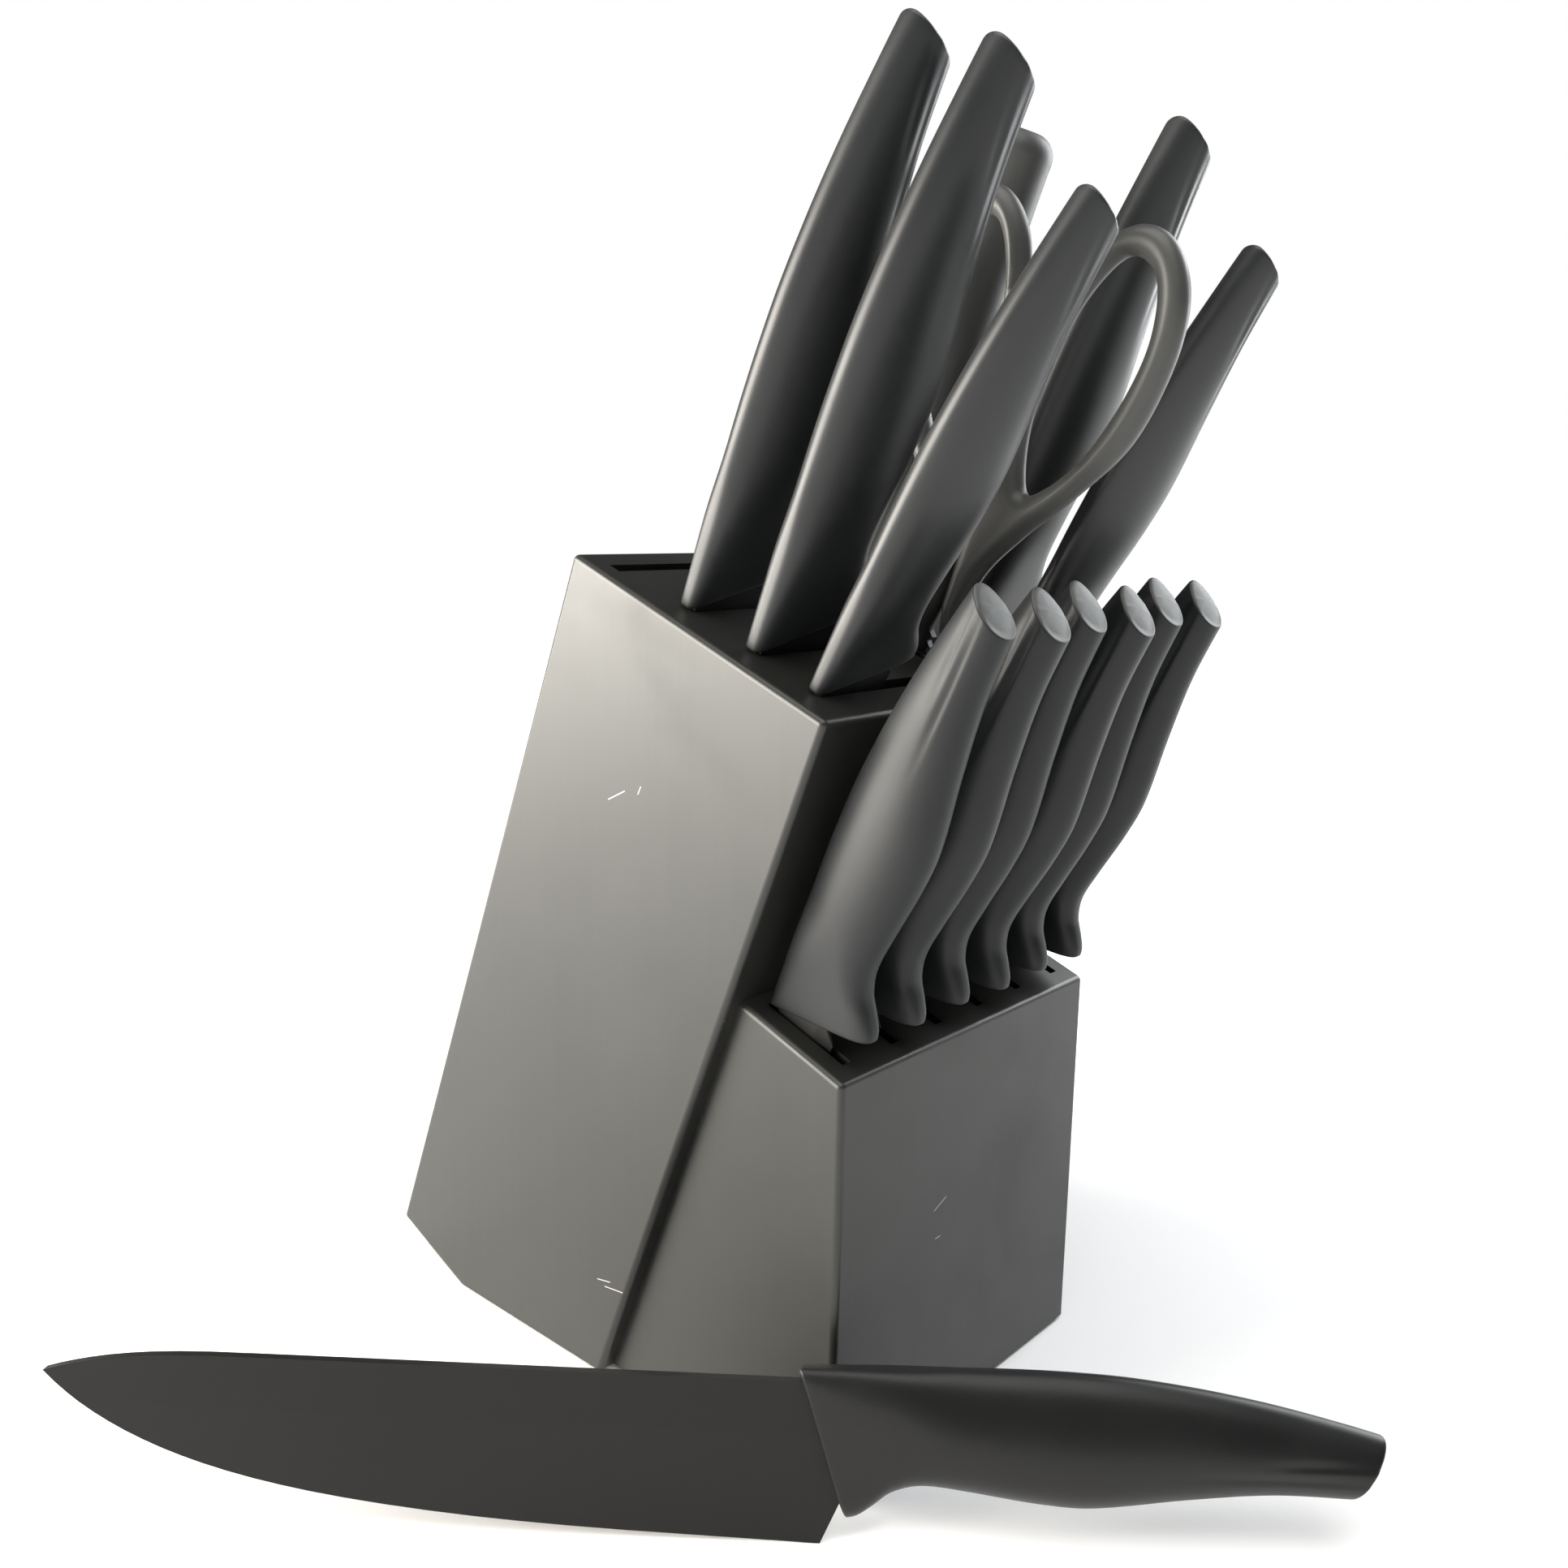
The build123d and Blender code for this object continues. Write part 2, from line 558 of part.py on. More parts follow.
def scissor_half(front):
    """Blade and handle of one half. The front half's blade lies on the left."""
    side = 1 if front else -1

    def place(points):
        return [Vector(up, side * forward, 0) for forward, up in points]

    blade_face = Face(Wire(Polyline(*place(SHEAR_OUTLINE), close=True).edges()))
    steel = extrude(blade_face, amount=SHEAR_BLADE, dir=(0, 0, 1))
    steel = Pos(0, 0, SHEAR_GAP - (SHEAR_BLADE + 2 * SHEAR_GAP if front else 0)) * steel
    hole = PIVOT_RADIUS + (PIVOT_CLEARANCE if front else 0)
    steel = steel - Pos(-PIVOT_DROP, 0, 0) * Cylinder(hole, LOOP_THICKNESS)

    arm = place(ARM_OUTLINE)
    gap = [arm[-1]] + place(NUT_GAP) + [arm[0]]
    outline = Wire([Spline(*arm).edge(), *Polyline(*gap).edges()])
    grip = extrude(Face(outline), amount=LOOP_THICKNESS / 2, dir=(0, 0, 1), both=True)
    opening = Face(Wire(Spline(*place(LOOP_OPENING), periodic=True).edges()))
    grip = grip - extrude(opening, amount=LOOP_THICKNESS, dir=(0, 0, 1), both=True)
    return steel.solid(), (grip - steel).solid()


def make_scissors():
    place = scissor_plane().location
    front_blade, front_grip = scissor_half(True)
    back_blade, back_grip = scissor_half(False)
    half = SHEAR_BLADE + SHEAR_GAP
    shank = Cylinder(PIVOT_RADIUS, 2 * half)
    lift = half + PIVOT_HEAD_HEIGHT / 2
    screw = shank + Pos(0, 0, -lift) * Cylinder(PIVOT_HEAD, PIVOT_HEAD_HEIGHT)
    nut = Pos(0, 0, lift) * Cylinder(PIVOT_HEAD, PIVOT_HEAD_HEIGHT)
    pivot = place * Pos(-PIVOT_DROP, 0, 0)
    return {
        "scissors_front_blade": place * front_blade,
        "scissors_front_handle": place * front_grip,
        "scissors_back_blade": place * back_blade,
        "scissors_back_handle": place * back_grip,
        "scissors_pivot_screw": pivot * screw,
        "scissors_pivot_nut": pivot * nut,
    }


if __name__ == "__main__":
    all_nodes = {**make_block(), **make_knives(), **make_steel(), **make_scissors()}
    for node, shape in all_nodes.items():
        save(node, shape)
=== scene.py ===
import json
import math

import bmesh
import bpy
import numpy as np
from mathutils import Matrix, Vector
from mathutils.geometry import delaunay_2d_cdt


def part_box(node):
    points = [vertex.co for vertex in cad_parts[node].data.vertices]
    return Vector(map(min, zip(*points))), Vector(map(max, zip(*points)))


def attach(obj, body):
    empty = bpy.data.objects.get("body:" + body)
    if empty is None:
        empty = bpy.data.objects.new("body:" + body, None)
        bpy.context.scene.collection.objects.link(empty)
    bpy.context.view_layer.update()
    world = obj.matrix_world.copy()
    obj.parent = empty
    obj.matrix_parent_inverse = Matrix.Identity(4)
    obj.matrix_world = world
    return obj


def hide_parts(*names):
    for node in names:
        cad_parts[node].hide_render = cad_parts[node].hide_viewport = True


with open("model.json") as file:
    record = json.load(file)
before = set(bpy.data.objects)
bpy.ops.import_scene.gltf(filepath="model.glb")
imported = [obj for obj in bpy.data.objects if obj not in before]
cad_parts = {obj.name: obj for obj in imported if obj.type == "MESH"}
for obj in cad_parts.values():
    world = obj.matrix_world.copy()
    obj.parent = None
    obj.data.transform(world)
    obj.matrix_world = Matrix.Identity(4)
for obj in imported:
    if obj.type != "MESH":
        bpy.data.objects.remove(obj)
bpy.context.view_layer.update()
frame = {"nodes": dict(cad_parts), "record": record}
NODES = frame["nodes"]
MM = 0.001
JOINTS = {joint["name"]: joint for joint in frame["record"]["behaviour"]["joints"]}

# ------------------------------------------------------------------ sizes, in mm
# the large handle's top line, belly line and thickness, each as (along, value)
HANDLE_TOP = ((-4, 0.0), (48, -1.4), (76, -1.0), (97, 1.1), (117, 4.4), (137, 8.9), (152, 12.8))
HANDLE_BELLY = (
    (-4, 36.0), (9, 36.4), (15, 36.0), (19, 33.4), (24, 29.4), (31, 27.4),
    (43, 28.5), (60, 30.6), (73, 31.1), (97, 27.9), (117, 25.9), (136, 26.0), (152, 26.6),
)
HANDLE_THICKNESS = (
    (-4, 7.4), (12, 9.6), (31, 14.4), (52, 17.6), (75, 18.4), (100, 16.8), (125, 14.6), (152, 13.0),
)
NOSE_LINE = ((0.2, 0.0), (12.6, 35.6))
BUTT_LINE = ((145.6, 11.0), (136.0, 27.4))
SPINE_SET = 3.2
HANDLE_LENGTH = 141.5
TANG_SHARE = 0.72        # of the handle's length
TANG_END = HANDLE_LENGTH * TANG_SHARE
EGG = 0.2                # how much fuller the flanks are towards the belly
HANDLE_LEAN = 1.9        # degrees between a leaning handle and its blade
LEANING = ("bread_knife", "santoku_knife", "slicing_knife", "utility_knife", "paring_knife")
HANDLE_SCALES = {
    "chef_knife": 0.93, "bread_knife": 0.97, "santoku_knife": 0.97, "slicing_knife": 0.97,
    "utility_knife": 0.825, "paring_knife": 0.825,
    **{f"steak_knife_{i}": 0.812 for i in range(1, 7)},
}


# ------------------------------------------------------------------ shader helpers
class Shader:
    """A material on the principled shader, with short calls for its nodes."""

    def __init__(self, name, colour, roughness, specular=0.5):
        self.material = bpy.data.materials.new(name)
        self.material.use_nodes = True
        self.tree = self.material.node_tree
        self.bsdf = self.tree.nodes["Principled BSDF"]
        self.bsdf.inputs["Base Color"].default_value = (*colour, 1)
        self.bsdf.inputs["Roughness"].default_value = roughness
        self.bsdf.inputs["Specular IOR Level"].default_value = specular
        self.coords = self.node("ShaderNodeTexCoord").outputs["Object"]

    def node(self, kind, **settings):
        made = self.tree.nodes.new(kind)
        for name, value in settings.items():
            setattr(made, name, value)
        return made

    def plug(self, socket, value):
        if isinstance(value, bpy.types.NodeSocket):
            self.tree.links.new(value, socket)
        else:
            socket.default_value = value

    def math(self, operation, *values, clamp=False):
        made = self.node("ShaderNodeMath", operation=operation, use_clamp=clamp)
        for socket, value in zip(made.inputs, values):
            self.plug(socket, value)
        return made.outputs[0]

    def vector(self, operation, *values):
        made = self.node("ShaderNodeVectorMath", operation=operation)
        for socket, value in zip(made.inputs, values):
            self.plug(socket, value)
        gives_number = operation in ("DOT_PRODUCT", "LENGTH", "DISTANCE")
        return made.outputs["Value" if gives_number else 0]

    def stretched(self, scale, turn=(0, 0, 0)):
        made = self.node("ShaderNodeMapping")
        self.plug(made.inputs["Vector"], self.coords)
        made.inputs["Rotation"].default_value = turn
        made.inputs["Scale"].default_value = scale
        return made.outputs[0]

    def noise(self, scale, detail=2.0, where=None, roughness=0.5, distortion=0.0):
        made = self.node("ShaderNodeTexNoise")
        self.plug(made.inputs["Vector"], where or self.coords)
        made.inputs["Scale"].default_value = scale
        made.inputs["Detail"].default_value = detail
        made.inputs["Roughness"].default_value = roughness
        made.inputs["Distortion"].default_value = distortion
        return made.outputs["Fac"]

    def cells(self, scale, where=None, randomness=1.0):
        made = self.node("ShaderNodeTexVoronoi")
        self.plug(made.inputs["Vector"], where or self.coords)
        made.inputs["Scale"].default_value = scale
        made.inputs["Randomness"].default_value = randomness
        return made.outputs["Distance"], made.outputs["Color"]

    def spread(self, value, low, high, to_low=0.0, to_high=1.0, smooth=True):
        made = self.node("ShaderNodeMapRange", interpolation_type="SMOOTHSTEP" if smooth else "LINEAR")
        self.plug(made.inputs["Value"], value)
        for name, number in zip(("From Min", "From Max", "To Min", "To Max"), (low, high, to_low, to_high)):
            made.inputs[name].default_value = number
        return made.outputs["Result"]

    def mix(self, share, first, second):
        made = self.node("ShaderNodeMix", data_type="RGBA")
        self.plug(made.inputs["Factor"], share)
        for name, value in (("A", first), ("B", second)):
            socket = [s for s in made.inputs if s.name == name and s.type == "RGBA"][0]
            self.plug(socket, value if isinstance(value, bpy.types.NodeSocket) else (*value, 1))
        return [s for s in made.outputs if s.type == "RGBA"][0]

    def bump(self, height, strength, distance):
        made = self.node("ShaderNodeBump")
        made.inputs["Strength"].default_value = strength
        made.inputs["Distance"].default_value = distance
        self.plug(made.inputs["Height"], height)
        self.plug(self.bsdf.inputs["Normal"], made.outputs["Normal"])

    def specks(self, scale, size, share):
        """Sparse round spots: one in a share of the cells."""
        distance, colour = self.cells(scale)
        split = self.node("ShaderNodeSeparateColor")
        self.plug(split.inputs[0], colour)
        chosen = self.math("GREATER_THAN", split.outputs[0], 1 - share)
        spot = self.spread(distance, size, size * 0.4)
        return self.math("MULTIPLY", chosen, spot)

    def scratches(self, scale, turn, share, width=0.02):
        """Sparse short lines, all running roughly one way."""
        where = self.stretched((1.0, 1.0, 0.06), turn)
        distance, colour = self.cells(scale, where)
        split = self.node("ShaderNodeSeparateColor")
        self.plug(split.inputs[0], colour)
        chosen = self.math("GREATER_THAN", split.outputs[1], 1 - share)
        return self.math("MULTIPLY", chosen, self.spread(distance, width, width * 0.3))

    def line(self, start, end, width):
        """1 on a straight scratch between two points of the row frame, 0 away from it."""
        a, b = Vector(start), Vector(end)
        offset = self.vector("SUBTRACT", self.coords, tuple(a))
        length2 = (b - a).length_squared
        along = self.math("DIVIDE", self.vector("DOT_PRODUCT", offset, tuple(b - a)), length2, clamp=True)
        made = self.node("ShaderNodeVectorMath", operation="SCALE")
        made.inputs[0].default_value = tuple(b - a)
        self.plug(made.inputs["Scale"], along)
        away = self.vector("DISTANCE", offset, made.outputs[0])
        return self.spread(away, width, width * 0.3)

    def set(self, name, value):
        self.plug(self.bsdf.inputs[name], value)


def lacquer():
    """Satin black lacquer on wood: faint orange peel, finger smudges, a few scratches and dust."""
    m = Shader("block_lacquer", (0.016, 0.017, 0.017), 0.36)
    smudge = m.spread(m.noise(16, 3.0, distortion=0.6), 0.52, 0.74)
    patchy = m.noise(60, 2.0)
    rough = m.math("ADD", m.spread(patchy, 0.3, 0.7, 0.335, 0.375), m.math("MULTIPLY", smudge, 0.10))
    m.set("Roughness", rough)
    grain = m.noise(1.0, 3.0, m.stretched((420, 420, 14), (math.radians(-21.5), 0, 0)))
    tone = m.mix(m.spread(grain, 0.3, 0.7), (0.0175, 0.0180, 0.0160), (0.0190, 0.0195, 0.0172))
    dust = m.specks(210, 0.13, 0.012)
    scratch = m.scratches(60, (0.5, 0.9, 0.2), 0.004)
    marks = m.math("MAXIMUM", dust, scratch)
    for start, end, width in BLOCK_SCRATCHES:
        marks = m.math("MAXIMUM", marks, m.line(start, end, width))
    m.set("Base Color", m.mix(marks, tone, (0.42, 0.41, 0.39)))
    peel = m.noise(750, 2.0)
    height = m.math("ADD", m.math("MULTIPLY", peel, 0.8), m.math("MULTIPLY", grain, 0.2))
    m.bump(m.math("SUBTRACT", height, m.math("MULTIPLY", marks, 0.8)), 0.06, 0.0002)
    return m.material


def moulded(name, colour, roughness, specular=0.5, texture=2600, marks_share=0.006):
    """Satin moulded plastic with a fine spark-eroded texture and small handling marks."""
    m = Shader(name, colour, roughness, specular)
    wear = m.noise(28, 3.0, distortion=0.4)
    m.set("Roughness", m.spread(wear, 0.3, 0.75, roughness - 0.03, roughness + 0.06))
    dust = m.specks(260, 0.12, marks_share)
    marks = m.math("MAXIMUM", dust, m.scratches(95, (0.9, 0.3, 0.1), marks_share * 0.5))
    tone = m.mix(m.spread(wear, 0.35, 0.7), tuple(c * 0.92 for c in colour), tuple(c * 1.1 for c in colour))
    m.set("Base Color", m.mix(marks, tone, tuple(min(c * 6 + 0.12, 0.5) for c in colour)))
    m.bump(m.noise(texture, 2.0), 0.10, 0.00012)
    return m.material


def cut_butt():
    """The handles' ends: paler and duller, with small moulding pits painted darker as shade."""
    m = Shader("handle_butt", (0.055, 0.057, 0.055), 0.5, 0.4)
    mottled = m.noise(180, 3.0)
    # sparse pits, dented by the bump and painted darker: painted shade in the dents
    pits_with_painted_shade = m.specks(420, 0.22, 0.05)
    tone = m.mix(m.spread(mottled, 0.3, 0.7), (0.046, 0.048, 0.046), (0.066, 0.068, 0.065))
    m.set("Base Color", m.mix(pits_with_painted_shade, tone, (0.018, 0.018, 0.018)))
    m.bump(m.math("SUBTRACT", mottled, pits_with_painted_shade), 0.25, 0.0003)
    return m.material


def coated(name, colour, roughness, way, specular=0.5):
    """Matt black non-stick coating over ground steel, with faint grinding lines and pinpricks."""
    m = Shader(name, colour, roughness, specular)
    lines = m.noise(1.0, 3.0, m.stretched(way))
    m.set("Roughness", m.spread(lines, 0.3, 0.7, roughness - 0.015, roughness + 0.02))
    specks = m.specks(240, 0.10, 0.010)
    darker, lighter = (tuple(c * share for c in colour) for share in (0.96, 1.05))
    tone = m.mix(m.spread(lines, 0.25, 0.75), darker, lighter)
    m.set("Base Color", m.mix(specks, tone, (0.45, 0.45, 0.44)))
    grit = m.noise(3200, 2.0)
    m.bump(m.math("ADD", m.math("MULTIPLY", lines, 0.3), m.math("MULTIPLY", grit, 0.7)), 0.06, 0.0001)
    return m.material


def bright_steel():
    m = Shader("ground_steel", (0.55, 0.55, 0.55), 0.3)
    m.bsdf.inputs["Metallic"].default_value = 1.0
    lines = m.noise(1.0, 2.0, m.stretched((2600, 2600, 30), (math.radians(-21.5), 0, 0)))
    m.set("Roughness", m.spread(lines, 0.3, 0.7, 0.24, 0.38))
    m.bump(lines, 0.4, 0.0002)
    return m.material


def bare_wood():
    m = Shader("bare_wood", (0.55, 0.42, 0.28), 0.6)
    grain = m.noise(1.0, 4.0, m.stretched((900, 60, 900)))
    m.set("Base Color", m.mix(grain, (0.42, 0.30, 0.18), (0.62, 0.48, 0.32)))
    m.bump(grain, 0.3, 0.0003)
    return m.material


def rubber():
    m = Shader("mat_rubber", (0.02, 0.02, 0.02), 0.75, 0.3)
    distance, _ = m.cells(900)
    m.set("Base Color", m.mix(m.noise(90, 2.0), (0.016, 0.016, 0.016), (0.028, 0.028, 0.028)))
    m.bump(distance, 0.5, 0.0003)
    return m.material


SCRATCH_WIDTH = 0.0002   # metres


def face_scratches():
    """Strokes worn into two faces of the block, as (start, end, width) in metres."""
    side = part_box("left_board_1")[0][0]
    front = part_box("step_board_4")[0][1]
    # in mm: (y, z) on the side face, (x, z) on the step's front
    on_side = (((3, 161), (-3, 164)), ((-8, 164), (-9, 166)), ((7, 28), (2, 29)), ((4, 27), (-3, 28)))
    on_front = (((-15, 60), (-10, 62)), ((-14, 52), (-12, 52)))
    made = [((side, y0 * MM, z0 * MM), (side, y1 * MM, z1 * MM)) for (y0, z0), (y1, z1) in on_side]
    made += [((x0 * MM, front, z0 * MM), (x1 * MM, front, z1 * MM)) for (x0, z0), (x1, z1) in on_front]
    return [(start, end, SCRATCH_WIDTH) for start, end in made]


BLOCK_SCRATCHES = face_scratches()

# ------------------------------------------------------------------ mesh helpers
def smooth_value(table, along):
    """A value between the table's points, on a curve with no corners."""
    last = len(table) - 2
    i = max(k for k in range(last + 1) if table[k][0] <= along or k == 0)

    def slope(k):
        before, after = table[max(k - 1, 0)], table[min(k + 1, last + 1)]
        return (after[1] - before[1]) / (after[0] - before[0])

    (x0, y0), (x1, y1) = table[i], table[i + 1]
    span = x1 - x0
    t = (along - x0) / span
    rise = (2 * t**3 - 3 * t**2 + 1) * y0 + (3 * t**2 - 2 * t**3) * y1
    return rise + span * ((t**3 - 2 * t**2 + t) * slope(i) + (t**3 - t**2) * slope(i + 1))


def ease(value, low, high):
    t = min(max((value - low) / (high - low), 0.0), 1.0)
    return t * t * (3 - 2 * t)


def add_piece(name, bm, body, materials):
    """A finished mesh as a piece that rides on a CAD body."""
    bmesh.ops.recalc_face_normals(bm, faces=bm.faces)
    mesh = bpy.data.meshes.new(name)
    bm.to_mesh(mesh)
    bm.free()
    for material in materials:
        mesh.materials.append(material)
    piece = bpy.data.objects.new(name, mesh)
    bpy.context.scene.collection.objects.link(piece)
    for polygon in mesh.polygons:
        polygon.use_smooth = True
    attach(piece, body)
    return piece


def rings_to_mesh(bm, rings):
    """Quads between successive rings of points, with a fan at each end."""
    rows = [[bm.verts.new(p) for p in ring] for ring in rings]
    faces = []
    for first, second in zip(rows, rows[1:]):
        count = len(first)
        for i in range(count):
            j = (i + 1) % count
            faces.append(bm.faces.new((first[i], first[j], second[j], second[i])))
    for row in (rows[0], rows[-1]):
        centre = bm.verts.new(sum((v.co for v in row), Vector()) / len(row))
        for i in range(len(row)):
            faces.append(bm.faces.new((row[i], row[(i + 1) % len(row)], centre)))
    return faces


# ------------------------------------------------------------------ handles
RING = 104
STATIONS = 96
END_ROUND = 0.9
GROOVES = (((86.7, 19.3), (142.9, 19.9), 26.0), ((110.0, 16.3), (144.3, 16.2), 16.0))
GROOVE_DEPTH = 0.34
GROOVE_END = 0.35        # share of that depth left at the butt's rim
GROOVE_RISE = (126.0, 141.0)
GROOVE_WIDTH = 2.6


def groove_depth(along, across):
    """How far the flank is sunk: a soft upper side, a crisp lower lip, fading forwards."""
    depth = 0.0
    for (u0, v0), (u1, v1), fade in GROOVES:
        middle = v0 + (v1 - v0) * (along - u0) / (u1 - u0)
        share = (across - middle) / GROOVE_WIDTH
        profile = ease(share, -1.0, 0.0) * (1 - ease(share, 0.0, 0.42))
        depth = max(depth, GROOVE_DEPTH * profile * ease(along, u0, u0 + fade))
    return depth * (1 - (1 - GROOVE_END) * ease(along, *GROOVE_RISE))


def line_at(line, across):
    (u0, v0), (u1, v1) = line
    return u0 + (u1 - u0) * (across - v0) / (v1 - v0)


def soft_least(a, b, blend):
    h = max(blend - abs(a - b), 0.0) / blend
    return min(a, b) - h * h * blend / 4


def flank_width(along, share, thickness):
    """Half thickness at a share from -1 at the spine to 1 at the belly."""
    fullness = 2.0 + 1.3 * (1 - ease(along, 4, 44))
    round_off = max(1 - abs(share) ** fullness, 0.0) ** (1 / fullness)
    width = thickness / 2 * round_off * (1 + EGG * share * ease(along, 10, 40))
    facet = 2.75 + 0.146 * along
    return soft_least(width, facet, 0.5) if width > 0.4 else width


def handle_section(end_share, shrink=0.0, slide=0.0):
    """A closed ring between the slanted nose, at 0, and the slanted butt, at 1."""
    points = []
    for k in range(RING):
        angle = 2 * math.pi * (k + 0.5) / RING
        share = -math.cos(angle)
        side = 1 if math.sin(angle) > 0 else -1
        along = 70.0
        for _ in range(4):
            top, belly = smooth_value(HANDLE_TOP, along), smooth_value(HANDLE_BELLY, along)
            across = (top + belly) / 2 + (belly - top) / 2 * share
            nose, butt = line_at(NOSE_LINE, across), line_at(BUTT_LINE, across)
            along = nose + (butt - nose) * end_share + slide
        width = flank_width(along, share, smooth_value(HANDLE_THICKNESS, along))
        width = max(width - groove_depth(along, across), 0.0)
        points.append(Vector((along, across, side * width)))
    if shrink:
        middle = sum(points, Vector()) / RING
        inset = []
        for k, point in enumerate(points):
            tangent = points[(k + 1) % RING] - points[k - 1]
            normal = Vector((0, tangent.z, -tangent.y)).normalized()
            if normal.dot(middle - point) < 0:
                normal = -normal
            inset.append(point + normal * shrink)
        points = inset
    return points


def end_rings(end_share, sign, bulge):
    """Rounded rim and slightly crowned face. sign points out of the handle."""
    rings = []
    steps = 5
    for k in range(1, steps + 1):
        angle = math.pi / 2 * k / steps
        rings.append(handle_section(
            end_share, END_ROUND * (1 - math.cos(angle)), sign * (END_ROUND * (math.sin(angle) - 1))))
    rim = rings[-1]
    middle = sum(rim, Vector()) / RING
    for share in (0.8, 0.6, 0.4, 0.2):
        lift = Vector((sign * bulge * (1 - share * share), 0, 0))
        rings.append([middle + (p - middle) * share + lift for p in rim])
    return rings


def native_handle():
    """Rings of the large handle in mm, from the nose's middle to the butt's middle."""
    rings = list(reversed(end_rings(0.0, -1, 0.0)))
    for k in range(STATIONS + 1):
        share = k / STATIONS
        rings.append(handle_section(share, 0.0, END_ROUND * (1 - 2 * share)))
    rings += end_rings(1.0, 1, 0.5)
    return rings


def knife_frame(blade, grip, scale, lean):
    """Matrix from the large handle's own mm frame to the row frame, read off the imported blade."""
    bm = bmesh.new()
    bm.from_mesh(blade.data)
    bmesh.ops.remove_doubles(bm, verts=bm.verts, dist=1e-6)
    bm.normal_update()
    sharp = [e for e in bm.edges if len(e.link_faces) == 2 and e.calc_face_angle(0) > 0.5]
    longest = max(sharp, key=lambda e: e.calc_length())
    along = (longest.verts[1].co - longest.verts[0].co).normalized()
    points = np.array([v.co for v in bm.verts])
    spread = np.zeros((3, 3))
    for face in bm.faces:
        normal = face.normal - along * face.normal.dot(along)
        spread += face.calc_area() * np.outer(normal, normal)
    bm.free()
    through = Vector(np.linalg.eigh(spread)[1][:, 2])
    grip_middle = sum((v.co for v in grip.data.vertices), Vector()) / len(grip.data.vertices)
    blade_middle = Vector(points.mean(axis=0))
    if along.dot(grip_middle - blade_middle) < 0:
        along = -along
    belly = through.cross(along).normalized()
    lengths = points @ np.array(along)
    tang = points[lengths > lengths.max() - 0.001].mean(axis=0)
    reach = (np.array([v.co for v in grip.data.vertices]) - tang) @ np.array(belly)
    if reach.max() < -reach.min():
        belly = -belly
    through = along.cross(belly)
    u = lengths.max() - TANG_END * scale * MM
    v = (points @ np.array(belly)).min() - SPINE_SET * scale * MM
    w = (points @ np.array(through))
    w = (w.max() + w.min()) / 2
    origin = along * u + belly * v + through * w
    lean = math.radians(lean)
    leaned_along = along * math.cos(lean) + belly * math.sin(lean)
    belly = belly * math.cos(lean) - along * math.sin(lean)
    along = leaned_along
    size = scale * MM
    return Matrix((
        (along.x * size, belly.x * size, through.x * size, origin.x),
        (along.y * size, belly.y * size, through.y * size, origin.y),
        (along.z * size, belly.z * size, through.z * size, origin.z),
        (0, 0, 0, 1),
    ))


def make_handles(plastics, butt):
    rings = native_handle()
    cap_rows = len(end_rings(1.0, 1, 0.5)) - 2
    for knife, scale in HANDLE_SCALES.items():
        blade, grip = NODES[f"{knife}_blade"], NODES[f"{knife}_handle"]
        lean = HANDLE_LEAN if knife in LEANING else 0.0
        place = knife_frame(blade, grip, scale, lean)
        bm = bmesh.new()
        faces = rings_to_mesh(bm, [[place @ p for p in ring] for ring in rings])
        side_faces = (len(rings) - 1) * RING
        for face in faces[side_faces - cap_rows * RING:side_faces] + faces[-RING:]:
            face.material_index = 1
        piece = add_piece(f"{knife}_grip", bm, knife,
                          (plastics.get(knife.split("_")[0], plastics["other"]), butt))
        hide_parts(f"{knife}_handle")


# ------------------------------------------------------------------ scissors loops
# (forward, up) of the front half, from the pivot's line and the block's top
ARM_OUTLINE = (
    (9.0, 0.6), (6.6, 12), (8.0, 25), (15.2, 38), (26.4, 53.5), (35.2, 69), (38.3, 88),
    (36.2, 103), (28.5, 113.2), (18.5, 114.3), (9.0, 105), (3.6, 86), (1.4, 63), (0.3, 40),
)
NUT_GAP = ((0.3, 40), (0.3, 14.5), (2.0, 7), (2.0, 0.6), (9.0, 0.6))
LOOP_OPENING = (
    (11.8, 49.5), (7.4, 64), (8.2, 82), (11.8, 97), (18.6, 107.2), (27.2, 105), (31.2, 93), (30.2, 79),
    (25.2, 63), (18.0, 52.5),
)
LOOP_THICKNESS = 8.5
LOOP_ROUND = 3.9         # width of the rounded rim
PIVOT_DROP = 7.0
OUTLINE_STEP = 0.9


def through_points(points, closed):
    """Evenly spaced points on a smooth curve through the given ones."""
    points = [np.array(p, float) for p in points]
    count = len(points)
    spans = count if closed else count - 1
    dense = []
    for i in range(spans):
        before = points[i - 1] if closed or i else 2 * points[0] - points[1]
        start, end = points[i], points[(i + 1) % count]
        after = points[(i + 2) % count] if closed or i + 2 < count else 2 * points[-1] - points[-2]
        for t in np.linspace(0, 1, 40, endpoint=False):
            dense.append(0.5 * (
                2 * start + (end - before) * t + (2 * before - 5 * start + 4 * end - after) * t**2
                + (3 * start - before - 3 * end + after) * t**3))
    if not closed:
        dense.append(points[-1])
    return even_points(np.array(dense), closed)


def even_points(dense, closed):
    line = np.vstack([dense, dense[:1]]) if closed else dense
    gaps = np.hypot(*np.diff(line, axis=0).T)
    reach = np.concatenate([[0], np.cumsum(gaps)])
    count = max(int(reach[-1] / OUTLINE_STEP), 2)
    at = np.linspace(0, reach[-1], count + 1)[:-1]
    return np.column_stack([np.interp(at, reach, line[:, k]) for k in (0, 1)])


def in_outline(points, outline):
    inside = np.zeros(len(points), bool)
    for (x0, y0), (x1, y1) in zip(outline, np.roll(outline, 1, axis=0)):
        crosses = (y0 > points[:, 1]) != (y1 > points[:, 1])
        at = (x1 - x0) * (points[:, 1] - y0) / (y1 - y0 if y1 != y0 else 1e-9) + x0
        inside ^= crosses & (points[:, 0] < at)
    return inside


